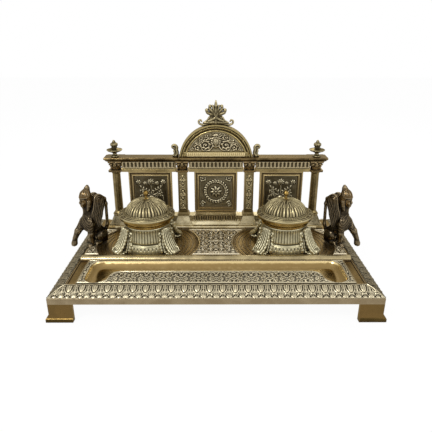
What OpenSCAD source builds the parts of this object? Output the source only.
// Desk inkstand: a footed tray with a pen trough, two lidded ink wells,
// a columned gallery behind them and a winged figure at each side.
// Millimetres. X runs along the front, Y from front to back, Z up from the desk.

/* [Tray] */
// Width of the tray over its plain band
tray_w = 330; // [310:1:360]
// Depth of the tray over its plain band
tray_d = 199; // [194:1:215]
// Height of the plain band
band_h = 6.3; // [5:0.1:8]
// Run of the sloping border
border_run = 15; // [13:0.5:17]
// Rise of the sloping border
border_rise = 7.5; // [6:0.1:9]
// Swell of the sloping border beyond a straight slope
border_swell = 1.2; // [0.2:0.1:2]
// Thickness of the cast brass
wall = 2.5; // [2:0.1:3]
// Depth of the plain strips beside the pen panel
strip_deep = 1.2; // [0.6:0.1:1.5]
// Width of the plain strips beside the pen panel
strip_w = 8; // [5:0.5:9]

/* [Pen trough] */
// Width of the trough at its mouth
trough_w = 23; // [20:0.5:25]
// Depth of the trough
trough_deep = 7; // [5:0.1:8]
// Length by which its two arms turn forward
trough_reach = 24; // [22:0.5:26]
// Gap between the arm tips and the sloping border
trough_tip_gap = 2.5; // [2:0.1:4]
// Gap between the arms and the sloping border at the sides
trough_side_gap = 16; // [14:0.5:24]

/* [Ridge behind the trough] */
// Width of the half-round ridge
ridge_w = 9.8; // [8:0.1:11]
// Height of the ridge above the deck
ridge_h = 3.5; // [2:0.1:4.5]
// Gap between the trough and the ridge
ridge_gap = 2.8; // [2:0.1:5]

/* [Turned discs] */
// Radius of the outermost turned groove round each well
disc_r = 58; // [56:0.5:58]
// Spacing of the turned grooves
groove_step = 4.5; // [4:0.1:5]
// Width of a turned groove
groove_w = 1.6; // [1:0.1:2]
// Depth of a turned groove
groove_deep = 0.6; // [0.3:0.1:0.9]
// Height of the cast panel between the discs
relief_h = 0.8; // [0.4:0.1:1]
// Height of the cast panel round the pen trough
panel_h = 0.6; // [0.3:0.1:0.8]

/* [Feet] */
// Height of the feet
foot_h = 19.5; // [17:0.5:24]
// Width of a foot block
foot_w = 24; // [22:0.5:28]
// Height of the pad under a foot
pad_h = 4.5; // [3:0.1:6]
// Thickness of the two plates of a foot
foot_wall = 4; // [3:0.1:5]
// How far a pad stands out beyond the sides of the tray
pad_side = 3; // [1:0.1:4]
// How far a pad stands out beyond the front and back of the tray
pad_front = 2; // [1:0.1:4]

/* [Ink wells] */
// Distance of each well from the middle of the tray
well_x = 80; // [78:0.5:82]
// Radius of the well at its foot
base_r = 31; // [30:0.1:32]
// Height of the apron at the foot of the well
apron_h = 9.5; // [8:0.1:11]
// Height of the fluted drum
drum_h = 19.5; // [17:0.1:22]
// Radius of the drum at its narrowest
drum_r = 25.6; // [25.2:0.1:26.4]
// Radius of the bore of the drum
bore_r = 23.2; // [22.8:0.05:23.4]
// Gap between the foot of the well and the ridge
well_gap = 0.9; // [0.5:0.1:2]
// Reach of a scroll bracket from the middle of the well
leg_reach = 44; // [42:0.5:45]
// Thickness of a scroll bracket
leg_t = 7; // [5:0.5:8]
// Angle between a bracket and the length of the tray
leg_angle = 40; // [36:1:41]

/* [Collars and pots] */
// Height of the turned collar
collar_h = 9.5; // [9:0.1:11]
// Radius of the ring at the foot of the collar
collar_r = 27; // [26.6:0.1:27.5]
// Radius of the rim of the collar
rim_r = 31.8; // [30.5:0.1:32]
// Thickness of the rim of the collar
rim_h = 2.5; // [2.3:0.1:3]
// Radius of the porcelain pot
pot_r = 21.5; // [20.5:0.1:21.8]
// Wall of the porcelain pot
pot_wall = 2.6; // [2:0.1:3.2]
// Width of the lip of the pot
lip_w = 3; // [2.6:0.1:3.1]
// Thickness of the lip of the pot
lip_h = 1.7; // [1.2:0.1:2]

/* [Lids] */
// Radius of the flange of a lid
lid_r = 32.3; // [32:0.1:33]
// Height of the flange at its rim
flange_h = 1.3; // [1:0.1:1.8]
// Radius of the foot of the dome
dome_r = 23.6; // [23:0.1:24.5]
// Height of the dome over its flange
dome_h = 14.4; // [13:0.1:16]
// Thickness of the dome
dome_wall = 2.4; // [2:0.1:3]
// Height of the petals on a dome
petal_h = 0.9; // [0.5:0.1:1.2]
// Radius of the ball of the knob
ball_r = 2.9; // [2.4:0.1:3.2]
// Height of the neck of the knob
neck_h = 3.7; // [3:0.1:5]

/* [Hinges] */
// Radius of a hinge knuckle
knuckle_r = 2.6; // [2.4:0.05:2.8]
// Radius of a hinge pin
pin_r = 1.2; // [1:0.05:1.4]
// Length of the lid's own knuckle
knuckle_l = 7.4; // [6:0.1:9]
// Length of each of the collar's two knuckles
ear_l = 5; // [4:0.1:6]
// Height of the pin above the underside of the lid
pin_rise = 0.5; // [0.3:0.1:1]

/* [Gallery] */
// Depth of the step that the gallery stands on
step_d = 30; // [26:1:31]
// Height of that step
step_h = 4.2; // [3:0.1:5]
// Height of the base over the step
base_h = 16.5; // [14:0.1:18]
// Half depth of the base
base_half = 6.5; // [6:0.1:8]
// Gap between the step and the rear slope of the tray
back_gap = 2; // [1:0.1:4]
// Distance of the outer columns from the middle
column_x = 124.7; // [123:0.1:128]
// Radius of an outer column
column_r = 5.2; // [4.8:0.1:6]
// Distance of the inner pilasters from the middle
pilaster_x = 41.7; // [41:0.1:43]
// Width of a pilaster
pilaster_w = 11.5; // [10.5:0.1:12]
// Height of the shafts between base and capital
shaft_h = 53.2; // [52:0.1:60]
// Height of a capital
capital_h = 13.8; // [13:0.1:15]
// Width of a capital
capital_w = 16; // [15:0.1:17]
// Height of the pedestal and base mould under a shaft
pedestal_h = 16.5; // [15:0.1:18]
// Thickness of the cornice
cornice_h = 4.7; // [4:0.1:6]
// Half depth of the cornice
cornice_half = 9; // [8:0.1:9.5]
// How far the cornice reaches beyond the outer columns
cornice_over = 12.7; // [11:0.1:15]
// Step forward of the cornice over each shaft
break_out = 1.6; // [0.5:0.1:1.8]

/* [Plaques] */
// Distance of the outer plaques from the middle
plaque_x = 82.3; // [82:0.1:83]
// Width of a plaque frame
frame_w = 54; // [50:0.5:55]
// Depth of a plaque frame
frame_d = 7; // [6:0.1:8]
// Width of the sides of a plaque frame
frame_side = 7; // [6:0.1:8]
// Height of the foot rail of a plaque frame
frame_foot = 6; // [5:0.1:8]
// Height of the head rail of a plaque frame
frame_head = 7.4; // [6:0.1:9]
// Thickness of a plaque
plaque_t = 2.4; // [1.8:0.1:2.8]

/* [Pediment] */
// Radius of the outside of the arch
arch_r = 45.7; // [44:0.1:47]
// How far the centre of the arch lies below the cornice top
arch_drop = 6.1; // [4:0.1:8]
// Thickness of the arch
arch_band = 9; // [8:0.1:10]
// Half depth of the arch
arch_half = 5.5; // [5:0.1:7]
// Height of the rail under the tympanum
rail_h = 6.3; // [5:0.1:8]
// Thickness of the tympanum
tympanum_t = 3; // [2.5:0.1:4]

/* [Finials] */
// Height of the palmette
palmette_h = 28.4; // [26:0.1:32]
// Thickness of the palmette
palmette_t = 5; // [4:0.1:6]
// Height of an urn
urn_h = 20.5; // [18:0.1:24]
// Radius of the dish of an urn
urn_r = 9.5; // [8.5:0.1:10]
// Distance from the outside of the arch to the middle of a side scroll
scroll_out = 4.1; // [3.8:0.1:5.3]
// Height of a side scroll
scroll_h = 15.5; // [14:0.1:18]

/* [Figures] */
// Distance of a figure's fixing stud from the side of the tray
figure_in = 25; // [24:0.5:27]
// Place of the figures behind the middle of the tray
figure_y = 13.5; // [10:0.5:16]

/* [Fasteners] */
// Radius of bolts, rods and studs
bolt_r = 2; // [1.8:0.05:2.2]
// Corner radius of a nut
nut_r = 4; // [3.7:0.1:4.4]
// Thickness of a nut
nut_h = 3; // [2.4:0.1:3.2]
// Radial play of a fixed fastener in its hole
hole_gap = 0.15; // [0.1:0.01:0.2]

/* [Fits] */
// Radial clearance of the hinge pins
pin_gap = 0.05; // [0.02:0.01:0.08]
// Gap between a closed lid and its collar
seat_gap = 0.1; // [0.05:0.01:0.2]
// Gap between moving edges beside a hinge
side_gap = 0.3; // [0.2:0.01:0.5]
// Play of pots, plaques and other pieces that drop in
drop_gap = 0.1; // [0.05:0.01:0.2]

/* [Hidden] */
$fn = 96;
left = -1;
right = 1;
cut = 1;                                   // overrun of a cutting tool
band_top = foot_h + band_h;
deck_z = band_top + border_rise;
deck_under = deck_z - wall;
inner_x = tray_w / 2 - border_run;         // inner edge of the sloping border
inner_y = tray_d / 2 - border_run;
bolt_hole = bolt_r + hole_gap;
bolt_head_r = 2 * bolt_r;
bolt_head_h = 1.2 * bolt_r;
boss_r = bolt_r + 3.2;                     // bosses that take the foot screws
boss_bore_top = band_top + border_rise / 3;
foot_boss_r = bolt_head_r + 2.4;
screw_head_h = 2.5;
screw_recess = 6.5;
// What stands one behind the other on the deck follows the depth of the tray
share_d = tray_d / 199;
share_w = tray_w / 330;
mouth_w = trough_w * share_d;
arm_reach = trough_reach * share_d;
bead_w = ridge_w * share_d;
stair_d = step_d * share_d;
disc_x = well_x * share_w;                 // place of the discs and wells
// Trough: a circular section sunk in the deck
trough_r = (pow(mouth_w / 2, 2) + pow(trough_deep, 2)) / (2 * trough_deep);
trough_z = deck_z - trough_deep + trough_r;
trough_x = inner_x - trough_side_gap - mouth_w / 2;
trough_end_y = -inner_y + trough_tip_gap + mouth_w / 2;
trough_y = trough_end_y + arm_reach;
ball_fuller = 0.15;
bend_fuller = 0.08;
// Ridge: a circular section that stands out of the deck
ridge_r = (pow(bead_w / 2, 2) + pow(ridge_h, 2)) / (2 * ridge_h);
ridge_y = trough_y + mouth_w / 2 + ridge_gap + bead_w / 2;
ridge_back = ridge_y + bead_w / 2;
// Wells
leg_front = leg_reach * sin(leg_angle) + leg_t / 2 * cos(leg_angle);
well_y = ridge_back + well_gap + max(base_r, leg_front);
floor_t = 3;                               // floor of the well body
drum_top = deck_z + apron_h + drum_h;
spigot_h = 2.2;                            // spigot of the collar in the bore of the drum
collar_top = drum_top + collar_h;
seat_z = collar_top - lip_h - 0.5;         // rebate that the lip of the pot rests in
lid_z = collar_top + seat_gap;
pot_foot = deck_z + floor_t + bolt_head_h + 0.8;
dome_z = lid_z + flange_h + 2.6;
dome_top = dome_z + dome_h;
knob_stud_r = 1.3;
pivot_y = lid_r + knuckle_r + side_gap;
pivot_z = lid_z + pin_rise;
// Gallery
gallery_y = inner_y - back_gap - stair_d / 2;
step_top = deck_z + step_h;
base_top = step_top + base_h;
shaft_z = step_top + pedestal_h;
mould_h = pedestal_h * 0.28;               // base mould of a shaft, on top of its pedestal
capital_z = shaft_z + shaft_h;
cornice_z = capital_z + capital_h;
cornice_top = cornice_z + cornice_h;
cornice_x = column_x + cornice_over;
frame_z = base_top;
frame_h = capital_z - base_top;
arch_z = cornice_top - arch_drop;
arch_in_r = arch_r - arch_band;
scroll_x = arch_r + scroll_out;
rail_top = cornice_top + rail_h;
// Each shaft's tie rod ends this far above the capital, in the cornice or the urn
inner_rod_top = cornice_z + cornice_h - 1.2;
outer_rod_top = cornice_top + 4;
stud_l = 4;                                // studs that seat the finials
stud_r = 1.5;
figure_x = tray_w / 2 - figure_in;

function arc_slope(n, run, rise, swell) =
    [for (i = [0:n]) [-run * i / n, rise * i / n + swell * sin(180 * i / n)]];
function border_side(half) =
    [for (p = arc_slope(8, border_run, border_rise, border_swell)) [half + p[0], band_top + p[1]]];
function mirrored(points) = [for (i = [len(points) - 1:-1:0]) [-points[i][0], points[i][1]]];

// A straight moulding of the given outline (Y, Z) along X, centred
module along_x(outline, length) {
    rotate([90, 0, 90])
        translate([0, 0, -length / 2])
            linear_extrude(length) polygon(outline);
}
// The same outline (X, Z) along Y
module along_y(outline, length) {
    rotate([90, 0, 0])
        translate([0, 0, -length / 2])
            linear_extrude(length) polygon(outline);
}
// A mitred frame or block: the same outline on all four sides
module mitred(outline_x, outline_y) {
    intersection() {
        along_y(outline_x, 4 * tray_w);
        along_x(outline_y, 4 * tray_w);
    }
}
module box(x0, x1, y0, y1, z0, z1) {
    translate([x0, y0, z0]) cube([x1 - x0, y1 - y0, z1 - z0]);
}
module post(x, y, z0, z1, r) {
    translate([x, y, z0]) cylinder(r = r, h = z1 - z0);
}
// A block that tapers from one footprint to another
module taper(x, y, bottom, top, z0, z1) {
    translate([x, y, 0]) mitred(
        [[-bottom[0] / 2, z0], [bottom[0] / 2, z0], [top[0] / 2, z1], [-top[0] / 2, z1]],
        [[-bottom[1] / 2, z0], [bottom[1] / 2, z0], [top[1] / 2, z1], [-top[1] / 2, z1]]
    );
}
// A limb: the hull of two balls
module limb(a, ra, b, rb) {
    hull() {
        translate(a) sphere(r = ra, $fn = 14);
        translate(b) sphere(r = rb, $fn = 14);
    }
}

module tray_block() {
    mitred(
        concat([[tray_w / 2, foot_h]], border_side(tray_w / 2),
            mirrored(border_side(tray_w / 2)), [[-tray_w / 2, foot_h]]),
        concat([[tray_d / 2, foot_h]], border_side(tray_d / 2),
            mirrored(border_side(tray_d / 2)), [[-tray_d / 2, foot_h]])
    );
}
function hollow_side(half) = [
    [half - wall, foot_h - cut], [half - wall, band_top - wall / 4],
    [half - border_run - wall / 4, deck_under]
];
module tray_hollow() {
    mitred(
        concat(hollow_side(tray_w / 2), mirrored(hollow_side(tray_w / 2))),
        concat(hollow_side(tray_d / 2), mirrored(hollow_side(tray_d / 2)))
    );
}
// The run of the trough with its two bent arms, at a given section radius.
// The balls and bends are a little fuller than the straight runs they blend.
module trough_form(r) {
    translate([0, trough_y, trough_z]) rotate([0, 90, 0])
        cylinder(r = r, h = 2 * trough_x, center = true);
    for (side = [left, right]) {
        translate([side * trough_x, trough_end_y, trough_z]) rotate([-90, 0, 0])
            cylinder(r = r, h = arm_reach);
        for (y = [trough_y, trough_end_y])
            translate([side * trough_x, y, trough_z]) sphere(r = r + ball_fuller);
        translate([side * (trough_x - arm_reach), trough_end_y, trough_z])
            rotate([0, 0, side == right ? 0 : 90])
                rotate_extrude(angle = 90) translate([arm_reach, 0])
                    circle(r = r + bend_fuller);
    }
}
module trough_shell() {
    intersection() {
        trough_form(trough_r + wall);
        box(-inner_x, inner_x, -inner_y - 2, ridge_y, foot_h + 1, deck_z - wall / 3);
    }
}
module ridge() {
    intersection() {
        translate([0, ridge_y, deck_z + ridge_h - ridge_r]) rotate([0, 90, 0])
            cylinder(r = ridge_r, h = 2 * inner_x - 1, center = true);
        box(-inner_x, inner_x, ridge_y - bead_w, ridge_y + bead_w, deck_z - 1, deck_z + ridge_h + 1);
    }
}
module turned_grooves() {
    grooves = 5;
    intersection() {
        for (side = [left, right], i = [0:grooves - 1]) {
            r = disc_r - i * groove_step;
            translate([side * disc_x, well_y, deck_z - groove_deep]) difference() {
                cylinder(r = r, h = groove_deep + cut);
                translate([0, 0, -cut]) cylinder(r = r - groove_w, h = groove_deep + 3 * cut);
            }
        }
        box(-inner_x + 2, inner_x - 2, ridge_back + 1, gallery_y - stair_d / 2 - 1, 0, deck_z + cut);
    }
}
// The panel between the two turned discs, drawn in where the discs cut it
module centre_relief() {
    reach = 30;
    difference() {
        box(-reach, reach, ridge_back + 7, gallery_y - stair_d / 2 - 5, deck_z - 1, deck_z + relief_h);
        for (side = [left, right]) post(side * disc_x, well_y, 0, deck_z + 5, disc_r + 2);
    }
}
// The panel that the pen trough is sunk in
module pen_panel() {
    half = inner_x - strip_w - 2;
    box(-half, half, 1.3 - inner_y, ridge_y - bead_w / 2 - 1, deck_z - 1, deck_z + panel_h);
}
module corner(sx, sy) {
    translate([sx * (tray_w - foot_w) / 2, sy * (tray_d - foot_w) / 2, 0]) children();
}
module four_corners() {
    for (sx = [left, right], sy = [-1, 1]) corner(sx, sy) children();
}
module shaft_places() {
    for (side = [left, right], x = [column_x, pilaster_x])
        translate([side * x, gallery_y, 0]) children();
}
// Everything that hangs under the deck on a nut
module nut_places() {
    shaft_places() children();
    for (side = [left, right]) {
        translate([side * disc_x, well_y, 0]) children();
        translate([side * figure_x, figure_y, 0]) children();
    }
}
module tray() {
    color("darkkhaki") difference() {
        union() {
            difference() {
                tray_block();
                tray_hollow();
            }
            trough_shell();
            ridge();
            centre_relief();
            pen_panel();
            intersection() {
                four_corners() post(0, 0, foot_h, deck_z, boss_r);
                tray_block();
            }
        }
        trough_form(trough_r);
        turned_grooves();
        for (side = [left, right])
            translate([side * (inner_x - 1 - strip_w / 2), (ridge_y - bead_w / 2 - inner_y) / 2, deck_z])
                cube([strip_w, inner_y + ridge_y - bead_w / 2 - 2, 2 * strip_deep], center = true);
        four_corners() post(0, 0, foot_h - cut, boss_bore_top, bolt_hole);
        nut_places() post(0, 0, deck_under - cut, deck_z + cut, bolt_hole);
    }
}

function foot_side(out) = [
    [-foot_w / 2, 0], [foot_w / 2 + out, 0], [foot_w / 2 + out, pad_h - 0.8],
    [foot_w / 2 + out - 0.8, pad_h], [foot_w / 2 + 1, pad_h + 0.4],
    [foot_w / 2, pad_h + 3.5], [foot_w / 2, foot_h], [-foot_w / 2, foot_h]
];
module foot(sx, sy) {
    inside = foot_w / 2 - foot_wall;
    color("goldenrod") corner(sx, sy) difference() {
        scale_sign(sx, sy) {
            difference() {
                mitred(foot_side(pad_side), foot_side(pad_front));
                box(-foot_w, inside, -foot_w, inside, -cut, foot_h + cut);
            }
            // Corner block for the screw, hidden behind the plates
            box(0, inside + 1, 0, inside + 1, 0, foot_h);
            post(0, 0, 0, foot_h, foot_boss_r);
        }
        post(0, 0, -cut, screw_recess, bolt_head_r + 0.4);
        post(0, 0, 0, foot_h + cut, bolt_hole);
    }
}
// Turns a form that points to +X and +Y towards the corner with these signs
module scale_sign(sx, sy) {
    mirror([sx < 0 ? 1 : 0, 0, 0]) mirror([0, sy < 0 ? 1 : 0, 0]) children();
}
module foot_screws() {
    color("peru") four_corners() {
        post(0, 0, screw_recess - screw_head_h, screw_recess, bolt_head_r);
        post(0, 0, screw_recess - 0.5, boss_bore_top - 0.5, bolt_r);
    }
}
module nut() {
    translate([0, 0, deck_under - nut_h]) difference() {
        cylinder(r = nut_r, h = nut_h, $fn = 6);
        translate([0, 0, -cut]) cylinder(r = bolt_hole, h = nut_h + 2 * cut, $fn = 32);
    }
}
module deck_nuts() {
    color("peru") nut_places() nut();
}

// Ink wells
module at_well(side) {
    translate([side * disc_x, well_y, 0]) children();
}
module turned(outline) {
    rotate_extrude() polygon(outline);
}
// One scroll bracket, drawn in the plane of its own radius
module bracket() {
    top_z = drum_top - deck_z;
    knee = leg_reach + 2;
    outline = [
        [drum_r - 1.5, -cut], [leg_reach - 1, -cut], [leg_reach, 2.5], [leg_reach - 1, 6],
        [knee - 1, 9], [knee, 12.5], [knee - 1.5, 16], [knee - 5, 20],
        [leg_reach - 10, top_z - 6], [drum_r + 3.5, top_z - 1.5], [drum_r - 1.5, top_z - 0.5]
    ];
    rotate([90, 0, 0]) translate([0, 0, -leg_t / 2]) difference() {
        union() {
            linear_extrude(leg_t) polygon(outline);
            translate([leg_reach - 3.5, 3.2, -0.6]) cylinder(r = 4, h = leg_t + 1.2);
            translate([drum_r + 2, top_z - 4, -0.6]) cylinder(r = 3.2, h = leg_t + 1.2);
        }
        translate([leg_reach - 7.5, 12.5, -1]) cylinder(r = 2.6, h = leg_t + 2);
    }
}
module well_body(side) {
    apron_z = deck_z + apron_h;
    color("darkkhaki") at_well(side) difference() {
        union() {
            turned([
                [0, deck_z - cut], [base_r, deck_z - cut], [base_r, deck_z + 1.6],
                [base_r - 0.4, deck_z + 5],
                [base_r - 1, apron_z - 1.2], [base_r - 2, apron_z], [base_r - 3.2, apron_z + 1.2],
                [drum_r + 1.6, apron_z + 4.5], [drum_r + 0.4, apron_z + 10],
                [drum_r, drum_top - 4], [drum_r + 0.5, drum_top], [0, drum_top]
            ]);
            for (turn = [-leg_angle, leg_angle, 180 - leg_angle, 180 + leg_angle])
                rotate([0, 0, turn]) translate([0, 0, deck_z]) bracket();
        }
        box(-2 * leg_reach, 2 * leg_reach, -2 * leg_reach, 2 * leg_reach, deck_z - 3 * cut, deck_z);
        post(0, 0, deck_z + floor_t, drum_top + cut, bore_r);
        post(0, 0, deck_z - cut, deck_z + floor_t + cut, bolt_hole);
    }
}
module well_bolts() {
    color("peru") for (side = [left, right]) at_well(side) {
        post(0, 0, deck_z + floor_t, deck_z + floor_t + bolt_head_h, bolt_head_r);
        post(0, 0, deck_under - nut_h - 1, deck_z + floor_t + 0.5, bolt_r);
    }
}
module at_hinge() {
    translate([0, pivot_y, pivot_z]) rotate([0, 90, 0]) children();
}
module collar(side) {
    throat_r = pot_r + 0.8;
    ear_x = knuckle_l / 2 + side_gap + ear_l / 2;
    color("goldenrod") at_well(side) difference() {
        union() {
            turned([
                [throat_r, drum_top], [collar_r - 0.8, drum_top], [collar_r, drum_top + 0.9],
                [collar_r, drum_top + 2.8], [collar_r - 0.9, drum_top + 3.7],
                [collar_r - 1.4, collar_top - rim_h - 1.4], [rim_r - 1.2, collar_top - rim_h],
                [rim_r, collar_top - rim_h + 0.8], [rim_r, collar_top],
                [pot_r + lip_w + drop_gap + 0.2, collar_top],
                [pot_r + lip_w + drop_gap + 0.2, seat_z], [throat_r, seat_z]
            ]);
            turned([
                [throat_r, drum_top - spigot_h], [bore_r - hole_gap, drum_top - spigot_h],
                [bore_r - hole_gap, drum_top + 0.5], [throat_r, drum_top + 0.5]
            ]);
            for (ear = [left, right]) translate([ear * ear_x, 0, 0]) {
                at_hinge() cylinder(r = knuckle_r, h = ear_l, center = true);
                box(-ear_l / 2, ear_l / 2, rim_r - 3, pivot_y, collar_top - rim_h + 0.2,
                    collar_top - 0.3);
            }
        }
        at_hinge() cylinder(r = pin_r + pin_gap, h = 4 * knuckle_l, center = true);
    }
}
module ink_pot(side) {
    in_r = pot_r - pot_wall;
    top = seat_z + drop_gap + lip_h;
    color("white") at_well(side) turned([
        [0, pot_foot], [pot_r - 2, pot_foot], [pot_r, pot_foot + 2], [pot_r, top - lip_h],
        [pot_r + lip_w, top - lip_h], [pot_r + lip_w, top - 0.5], [pot_r + lip_w - 0.5, top],
        [in_r + 0.5, top], [in_r, top - 0.5], [in_r, pot_foot + pot_wall + 2],
        [in_r - 2, pot_foot + pot_wall], [0, pot_foot + pot_wall]
    ]);
}
// Quarter-oval dome from its foot to its top, as (radius, height) points
function dome(r, z0, z1, n) =
    [for (i = [0:n]) [r * cos(90 * i / n), z0 + (z1 - z0) * sin(90 * i / n)]];
// A ring of petals in plan, from the radius far to the tips at the radius near
module petal_ring(count, far, near, half, rise) {
    shoulder = near + 0.55 * (far - near);
    plan = [
        [far, -half], [shoulder, -half], [near + 0.2 * (shoulder - near), -0.6 * half], [near, 0],
        [near + 0.2 * (shoulder - near), 0.6 * half], [shoulder, half], [far, half]
    ];
    intersection() {
        turned(concat([[0, dome_z - 1], [dome_r + rise, dome_z - 1]],
            dome(dome_r + rise, dome_z, dome_top + rise, 8)));
        for (i = [0:count - 1])
            translate([0, 0, dome_z - 0.5]) linear_extrude(dome_h + 2)
                polygon([for (p = plan) let (a = 360 * i / count + p[1]) [p[0] * cos(a), p[0] * sin(a)]]);
    }
}
module lid(side) {
    color("darkkhaki") at_well(side) difference() {
        union() {
            petal_ring(22, dome_r + 2, dome_r * 0.76, 7.2, petal_h);
            petal_ring(11, dome_r * 0.82, dome_r * 0.34, 13.5, petal_h - 0.2);
            turned(concat(
                [[0, lid_z], [lid_r - 0.6, lid_z], [lid_r, lid_z + 0.5], [lid_r, lid_z + flange_h],
                    [lid_r - 1.8, lid_z + flange_h + 1], [dome_r + 1, dome_z - 0.2]],
                dome(dome_r, dome_z, dome_top, 8)
            ));
            at_hinge() cylinder(r = knuckle_r, h = knuckle_l, center = true);
            box(-knuckle_l / 2, knuckle_l / 2, lid_r - 4, pivot_y, lid_z, lid_z + flange_h + 1);
        }
        turned(concat([[0, lid_z - cut], [dome_r - dome_wall, lid_z - cut]],
            dome(dome_r - dome_wall, dome_z - 1.5, dome_top - dome_wall, 8)));
        post(0, 0, lid_z, dome_top + cut, knob_stud_r + hole_gap);
        at_hinge() cylinder(r = pin_r + pin_gap, h = 2 * knuckle_l, center = true);
    }
}
module lid_knob(side) {
    ball_z = dome_top + neck_h + ball_r;
    color("goldenrod") at_well(side) {
        post(0, 0, dome_top - dome_wall - 1.5, dome_top + 0.5, knob_stud_r);
        turned([
            [0, dome_top], [3, dome_top], [2.6, dome_top + 0.9], [1.3, dome_top + 1.5],
            [1.1, ball_z - ball_r + 0.5], [0, ball_z - ball_r + 0.5]
        ]);
        translate([0, 0, ball_z]) sphere(r = ball_r);
    }
}
module hinge_pin(side) {
    head_l = 1;
    reach = knuckle_l / 2 + side_gap + ear_l + drop_gap;
    color("peru") at_well(side) at_hinge() {
        cylinder(r = pin_r, h = 2 * reach + 1, center = true);
        for (end = [left, right]) translate([0, 0, end * (reach + head_l / 2)])
            cylinder(r = pin_r + 0.6, h = head_l, center = true);
    }
}

// Gallery
module at_gallery() {
    translate([0, gallery_y, 0]) children();
}
function profile_y(points) = concat(points, mirrored(points));
module pedestal(x) {
    foot = capital_w + 8;
    head = capital_w - 3;
    mould_z = shaft_z - mould_h;
    taper(x, 0, [foot, foot - 1], [foot - 1.5, foot - 2.5], step_top, step_top + 2.2);
    taper(x, 0, [foot - 3, foot - 4], [head, head], step_top + 2, mould_z);
}
module gallery_base() {
    bed_x = column_x + capital_w / 2 + 4;
    color("darkkhaki") at_gallery() difference() {
        union() {
            along_x(profile_y([
                [stair_d / 2, deck_z], [stair_d / 2, step_top - 1], [stair_d / 2 - 1, step_top],
                [base_half + 3, step_top + 0.4], [base_half + 0.6, step_top + 3],
                [base_half, step_top + 4.4], [base_half, base_top - 4],
                [base_half + 1.4, base_top - 3], [base_half + 1.4, base_top]
            ]), 2 * bed_x - capital_w);
            box(-bed_x, bed_x, -stair_d / 2 + 1, stair_d / 2 - 1, deck_z, step_top);
            for (side = [left, right], x = [column_x, pilaster_x]) pedestal(side * x);
        }
        for (side = [left, right], x = [column_x, pilaster_x]) {
            post(side * x, 0, deck_z - cut, base_top + cut, bolt_hole);
            box(side * x - capital_w, side * x + capital_w, -stair_d, stair_d,
                shaft_z - mould_h, base_top + 2 * cut);
        }
    }
}
module column(side) {
    mould_z = shaft_z - mould_h;
    color("sienna") at_gallery() translate([side * column_x, 0, 0]) difference() {
        turned([
            [0, mould_z], [capital_w / 2 - 0.4, mould_z], [capital_w / 2, mould_z + 0.8],
            [capital_w / 2 - 0.3, mould_z + 1.9], [column_r + 1.2, mould_z + 2.3],
            [column_r + 1.6, mould_z + 3.2], [column_r + 0.9, mould_z + 4.1],
            [column_r, shaft_z + 1], [column_r - 0.3, capital_z - 3],
            [column_r + 0.6, capital_z - 1.5], [column_r + 0.6, capital_z], [0, capital_z]
        ]);
        post(0, 0, mould_z - cut, capital_z + cut, bolt_hole);
    }
}
module pilaster(side) {
    mould_z = shaft_z - mould_h;
    panel_w = pilaster_w - 4;
    panel_deep = 0.8;
    color("sienna") at_gallery() translate([side * pilaster_x, 0, 0]) difference() {
        union() {
            box(-pilaster_w / 2, pilaster_w / 2, -pilaster_w / 2, pilaster_w / 2, mould_z, capital_z);
            taper(0, 0, [capital_w - 1, capital_w - 1], [capital_w - 1.6, capital_w - 1.6],
                mould_z, mould_z + 2);
            taper(0, 0, [pilaster_w + 2, pilaster_w + 2], [pilaster_w, pilaster_w],
                mould_z + 1.9, mould_z + 4.2);
        }
        for (face = [-1, 1])
            translate([0, face * pilaster_w / 2, (shaft_z + capital_z) / 2])
                cube([panel_w, 2 * panel_deep, shaft_h - 6], center = true);
        post(0, 0, mould_z - cut, capital_z + cut, bolt_hole);
    }
}
module capital(side, x) {
    bell_z = capital_z + 2.4;
    abacus_z = cornice_z - 2.6;
    color("saddlebrown") at_gallery() translate([side * x, 0, 0]) difference() {
        union() {
            taper(0, 0, [capital_w - 1, capital_w - 1], [capital_w, capital_w], capital_z, bell_z);
            turned([
                [0, bell_z - 0.5], [capital_w / 2 - 2.4, bell_z - 0.5],
                [capital_w / 2 - 2.6, bell_z + 2.5], [capital_w / 2 - 2, abacus_z - 3],
                [capital_w / 2 - 0.4, abacus_z + 0.5], [0, abacus_z + 0.5]
            ]);
            taper(0, 0, [capital_w - 1.2, capital_w - 1.2], [capital_w, capital_w],
                abacus_z, cornice_z);
            for (turn = [0:45:315]) rotate([0, 0, turn])
                translate([capital_w / 2 - 1.9, 0, bell_z + 3.2]) sphere(r = 1.7, $fn = 24);
            for (turn = [45:90:315]) rotate([0, 0, turn])
                translate([capital_w / 2 + 0.6, 0, abacus_z - 1.4]) rotate([90, 0, 0])
                    cylinder(r = 1.8, h = 2.4, center = true, $fn = 32);
        }
        post(0, 0, capital_z - cut, cornice_z + cut, bolt_hole);
    }
}
module outer_tie_rods() {
    color("peru") at_gallery() for (side = [left, right])
        post(side * column_x, 0, deck_under - nut_h - 1, outer_rod_top, bolt_r);
}
module inner_tie_rods() {
    color("peru") at_gallery() for (side = [left, right])
        post(side * pilaster_x, 0, deck_under - nut_h - 1, inner_rod_top - 0.5, bolt_r);
}
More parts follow.
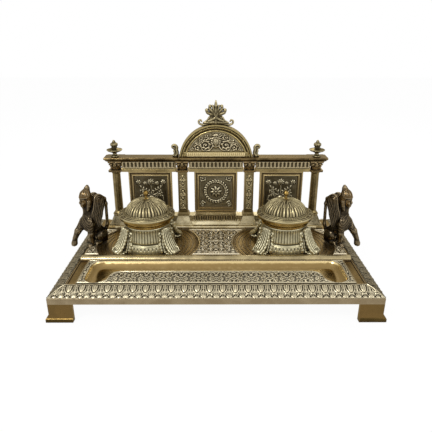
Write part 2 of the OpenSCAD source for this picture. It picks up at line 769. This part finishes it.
module entablature() {
    architrave_h = 4.6;
    half = capital_w / 2 - 2;
    color("darkkhaki") at_gallery() difference() {
        union() {
            difference() {
                along_x(profile_y([
                    [half, capital_z], [half, capital_z + architrave_h - 1],
                    [half - 0.8, capital_z + architrave_h], [half - 0.8, cornice_z - 0.8],
                    [half + 0.6, cornice_z], [half + 0.6, cornice_z + 1]
                ]), 2 * column_x);
                for (side = [left, right], x = [column_x, pilaster_x])
                    box(side * x - capital_w / 2 - drop_gap, side * x + capital_w / 2 + drop_gap,
                        -20, 20, capital_z - cut, cornice_z);
            }
            mitred(cornice_side(cornice_x), cornice_side(cornice_half));
            for (side = [left, right], x = [column_x, pilaster_x])
                translate([side * x, 0, 0])
                    mitred(cornice_side(capital_w / 2 + 3), cornice_side(cornice_half + break_out));
        }
        for (side = [left, right]) {
            post(side * column_x, 0, capital_z, cornice_top + cut, bolt_hole);
            post(side * pilaster_x, 0, capital_z, inner_rod_top, bolt_hole);
            post(side * scroll_x, 0, cornice_top - stud_l + 0.5, cornice_top + cut, stud_r + hole_gap);
            post(side * arch_r / 2, 0, cornice_top - stud_l + 0.5, cornice_top + cut, stud_r + hole_gap);
        }
    }
}
function cornice_side(half) = profile_y([
    [half - 2, cornice_z], [half - 1.6, cornice_z + 1], [half - 0.5, cornice_z + 2],
    [half, cornice_z + 2.6], [half, cornice_top - 0.8], [half - 0.4, cornice_top]
]);
module plaque_frame(x) {
    in_x = frame_w / 2 - frame_side;
    z0 = frame_z + frame_foot;
    z1 = frame_z + frame_h - frame_head;
    rebate = 1.6;
    color("goldenrod") at_gallery() translate([x, 0, 0]) difference() {
        box(-frame_w / 2, frame_w / 2, -frame_d / 2, frame_d / 2, frame_z, frame_z + frame_h);
        box(-in_x, in_x, -frame_d, frame_d, z0, z1);
        box(-in_x - rebate, in_x + rebate, 0, frame_d, z0 - rebate, z1 + rebate);
        difference() {
            box(-frame_w / 2 + 2.6, frame_w / 2 - 2.6, -frame_d, -frame_d / 2 + 0.9,
                frame_z + 2.2, frame_z + frame_h - 2.6);
            box(-in_x - 1.8, in_x + 1.8, -2 * frame_d, 0, z0 - 1.6, z1 + 1.8);
        }
    }
}
// A plain plaque with a low vase of scrolls
module plaque(x) {
    in_x = frame_w / 2 - frame_side;
    z0 = frame_z + frame_foot;
    z1 = frame_z + frame_h - frame_head;
    rebate = 1.6;
    mid = (z0 + z1) / 2;
    color("dimgray") at_gallery() translate([x, 0, 0]) {
        box(-in_x - rebate + drop_gap, in_x + rebate - drop_gap, drop_gap, plaque_t,
            z0 - rebate + drop_gap, z1 + rebate - drop_gap);
        intersection() {
            union() {
                translate([0, 0, mid - 9]) turned([
                    [0, -4], [5, -4], [4, -2.6], [1.4, -0.5], [2, 1.5], [6.4, 6], [6.8, 9],
                    [4.6, 11.5], [5.4, 13], [0, 13]
                ]);
                for (side = [left, right]) translate([side * 10.5, 0, mid + 2])
                    rotate([90, 0, 0]) rotate_extrude() translate([4.4, 0]) circle(r = 1.1, $fn = 24);
                for (turn = [-50:25:50]) translate([0, 0, mid + 5]) rotate([0, turn, 0])
                    translate([0, 0, 6]) rotate([90, 0, 0])
                        cylinder(r = 2.2, h = 2, center = true, $fn = 32);
            }
            box(-in_x + 1, in_x - 1, -1.5, 1, z0 + 1, z1 - 1);
        }
    }
}

// Pediment and finials
module arch() {
    color("goldenrod") at_gallery() difference() {
        union() {
            translate([0, 0, arch_z]) intersection() {
                rotate([90, 0, 0]) turned([
                    [arch_in_r, -arch_half + 1], [arch_in_r + 2, -arch_half + 0.4],
                    [arch_in_r + 2.4, -arch_half + 1.2], [arch_r - 3, -arch_half + 1.2],
                    [arch_r - 2.6, -arch_half], [arch_r, -arch_half], [arch_r, arch_half],
                    [arch_r - 2.6, arch_half], [arch_r - 3, arch_half - 1.2],
                    [arch_in_r + 2.4, arch_half - 1.2], [arch_in_r + 2, arch_half - 0.4],
                    [arch_in_r, arch_half - 1]
                ]);
                box(-2 * arch_r, 2 * arch_r, -2 * arch_half, 2 * arch_half, arch_drop, 2 * arch_r);
            }
            box(-arch_r + 3, arch_r - 3, -arch_half + 1.2, arch_half - 1.2, cornice_top, rail_top);
            box(-arch_in_r, arch_in_r, -arch_half + 0.4, arch_half - 0.4, rail_top - 2, rail_top - 0.6);
            for (side = [left, right])
                post(side * arch_r / 2, 0, cornice_top - stud_l + 1, cornice_top + 1, stud_r);
        }
        post(0, 0, arch_z + arch_r - stud_l - 0.5, arch_z + arch_r + cut, stud_r + hole_gap);
    }
}
// A plate that fills the arch, with a plain boss between two pairs of scrolls
module tympanum() {
    r = arch_in_r - drop_gap;
    mid = rail_top + 11;
    color("darkkhaki") at_gallery() {
        translate([0, 0, arch_z]) rotate([90, 0, 0]) intersection() {
            cylinder(r = r, h = tympanum_t, center = true);
            translate([-2 * r, rail_top + drop_gap - arch_z, -tympanum_t])
                cube([4 * r, 2 * r, 2 * tympanum_t]);
        }
        intersection() {
            union() {
                translate([0, -tympanum_t / 2, mid]) sphere(r = 4.6);
                for (side = [left, right], k = [0:1])
                    translate([side * (11 + 10.5 * k), -tympanum_t / 2, mid - 1 - 3.2 * k])
                        rotate([90, 0, 0])
                            rotate_extrude() translate([4.2 - k, 0]) circle(r = 1.2, $fn = 24);
            }
            box(-arch_r, arch_r, -arch_half + 1.2, 0, rail_top + 0.5, arch_z + arch_r);
        }
    }
}
// A leaf lobe as a pointed oval of n points, its foot at the origin
function leaf(len, half, n) =
    [for (i = [0:2 * n - 1]) let (t = i <= n ? i / n : 2 - i / n, s = i <= n ? 1 : -1)
        [s * half * pow(sin(180 * pow(t, 1.3)), 0.8), len * t]];
module palmette() {
    foot_z = arch_z + arch_r;
    heart_z = palmette_h * 0.42;
    lobes = [[0, 1, 3.2], [33, 0.85, 2.9], [66, 0.78, 2.7]];
    color("darkkhaki") at_gallery() translate([0, 0, foot_z]) {
        difference() {
            rotate([90, 0, 0]) translate([0, 0, -palmette_t / 2]) linear_extrude(palmette_t)
                polygon([
                    [-18, -4], [18, -4], [18, 2.2], [12.5, 3.4], [9, 6.2], [6.6, heart_z],
                    [-6.6, heart_z], [-9, 6.2], [-12.5, 3.4], [-18, 2.2]
                ]);
            translate([0, 0, -arch_r]) rotate([90, 0, 0])
                cylinder(r = arch_r, h = 4 * palmette_t, center = true, $fn = 192);
        }
        for (side = [left, right]) {
            translate([side * 18.6, 0, 1.2]) rotate([90, 0, 0])
                cylinder(r = 3.4, h = palmette_t, center = true, $fn = 48);
            for (k = [1:2]) rotate_lobe(side * lobes[k][0], heart_z - 2)
                lobe(lobes[k][1] * (palmette_h - heart_z) * 0.93, lobes[k][2]);
        }
        rotate_lobe(0, heart_z - 2) lobe(palmette_h - heart_z + 2, lobes[0][2]);
        post(0, 0, -stud_l, 2, stud_r);
    }
}
module rotate_lobe(angle, z) {
    translate([0, 0, z]) rotate([0, angle, 0]) children();
}
module lobe(len, half) {
    t = palmette_t - 1;
    rotate([90, 0, 0]) translate([0, 0, -t / 2]) linear_extrude(t) polygon(leaf(len, half, 7));
}
module side_scroll(side) {
    t = palmette_t;
    color("darkkhaki") at_gallery() translate([side * scroll_x, 0, cornice_top])
        mirror([side < 0 ? 1 : 0, 0, 0]) {
            rotate([90, 0, 0]) translate([0, 0, -t / 2]) linear_extrude(t) polygon([
                [-3.2, 0], [3, 0], [2.6, 3], [0.6, scroll_h * 0.4], [0.8, scroll_h * 0.62],
                [2, scroll_h * 0.8], [-0.5, scroll_h], [-3, scroll_h * 0.9], [-4, scroll_h * 0.7],
                [-3.8, scroll_h * 0.4]
            ]);
            translate([1.2, 0, scroll_h - 3.2]) rotate([90, 0, 0])
                cylinder(r = 3.2, h = t, center = true, $fn = 48);
            post(0, 0, -stud_l + 1, 1, stud_r);
        }
}
module urn(side) {
    h = urn_h;
    color("darkkhaki") at_gallery() translate([side * column_x, 0, cornice_top]) difference() {
        turned([
            [0, 0], [5, 0], [4.6, 1.2], [2.8, 2.4], [2.6, 4.4], [5.5, 6.2], [urn_r, 7.6],
            [urn_r - 0.4, 8.8], [6, 9.8], [3.6, 11], [3.4, 12.2], [4.4, 14], [4, 16],
            [2.2, 17.4], [1.8, 18.6], [0.8, h - 0.3], [0, h]
        ]);
        post(0, 0, -cut, outer_rod_top - cornice_top + 0.5, bolt_hole);
    }
}

// Winged figure that sits at the side of the tray, drawn for the right-hand side:
// x runs outwards, y to the back and z up, all from its fixing stud on the deck
module figure_form() {
    haunch = [-2, 8, 9];
    belly = [3, 2, 16];
    chest = [9, -5, 26];
    neck = [8, -7, 41];
    head = [8, -7.5, 56];
    limb(haunch, 9, belly, 9);
    limb(belly, 9, chest, 8.6);
    limb(chest, 8.6, neck, 5.8);
    limb(neck, 5.8, head, 7.6);
    limb([9.5, -9.5, 51], 5, head, 7.2);
    limb(head, 7, [6, -7, 68], 3.6);
    limb([6, -7, 68], 3.6, [4.5, -6.5, 71.7], 2);
    // Raised foreleg
    limb([14, -8, 24], 5, [21, -9.5, 15.5], 3.8);
    limb([21, -9.5, 15.5], 3.8, [25.2, -10, 5.5], 3.2);
    limb([25.2, -10, 5.5], 3.4, [26.2, -11, 2.4], 3.6);
    // Standing foreleg and its paw
    limb([5, -8, 22], 5, [4, -10.5, 3.4], 3.4);
    limb([4, -10.5, 2.6], 3.2, [4.6, -13.5, 2.2], 2.8);
    // Hind leg
    limb([-5, 3, 9], 6, [-1, -5, 3], 3.4);
    // Wings, laid against each other and curled at the top
    for (apart = [-3, 3]) translate([apart, apart, 0]) {
        limb([1, 3, 26], 6, [-6, 9, 44], 4.6);
        limb([-6, 9, 44], 4.6, [-8, 10, 56], 4.4);
        limb([-8, 10, 56], 4.4, [-5.5, 8, 58], 3);
    }
    // Tail
    limb([-9, 13, 8], 2.4, [-14, 13, 22], 1.8);
    limb([-14, 13, 22], 1.8, [-14.5, 12.5, 50], 1.7);
    limb([-14.5, 12.5, 50], 1.7, [-9, 11, 58], 2);
}
module figure(side) {
    color("saddlebrown") translate([side * figure_x, figure_y, deck_z])
        mirror([side < 0 ? 1 : 0, 0, 0]) {
            intersection() {
                figure_form();
                union() {
                    translate([-40, -40, 0]) cube([40 + figure_in - border_run, 100, 100]);
                    translate([-1, -40, -3]) cube([40, 100, 100]);
                }
            }
            translate([0, 0, -(wall + nut_h + 1)]) cylinder(r = bolt_r, h = wall + nut_h + 5);
        }
}

tray();
foot(left, -1);  // foot_front_left
foot(right, -1);  // foot_front_right
foot(left, 1);  // foot_back_left
foot(right, 1);  // foot_back_right
foot_screws();
well_body(left);  // well_body_left
well_body(right);  // well_body_right
collar(left);  // collar_left
collar(right);  // collar_right
ink_pot(left);  // ink_pot_left
ink_pot(right);  // ink_pot_right
lid(left);  // lid_left
lid(right);  // lid_right
lid_knob(left);  // lid_knob_left
lid_knob(right);  // lid_knob_right
hinge_pin(left);  // hinge_pin_left
hinge_pin(right);  // hinge_pin_right
well_bolts();
gallery_base();
column(left);  // column_left
column(right);  // column_right
pilaster(left);  // pilaster_left
pilaster(right);  // pilaster_right
capital(left, column_x);  // capital_outer_left
capital(right, column_x);  // capital_outer_right
capital(left, pilaster_x);  // capital_inner_left
capital(right, pilaster_x);  // capital_inner_right
plaque_frame(-plaque_x);  // plaque_frame_left
plaque_frame(0);  // plaque_frame_centre
plaque_frame(plaque_x);  // plaque_frame_right
plaque(-plaque_x);  // plaque_left
plaque(0);  // plaque_centre
plaque(plaque_x);  // plaque_right
entablature();
arch();
tympanum();
palmette();
side_scroll(left);  // side_scroll_left
side_scroll(right);  // side_scroll_right
urn(left);  // urn_left
urn(right);  // urn_right
outer_tie_rods();
inner_tie_rods();
figure(left);  // figure_left
figure(right);  // figure_right
deck_nuts();
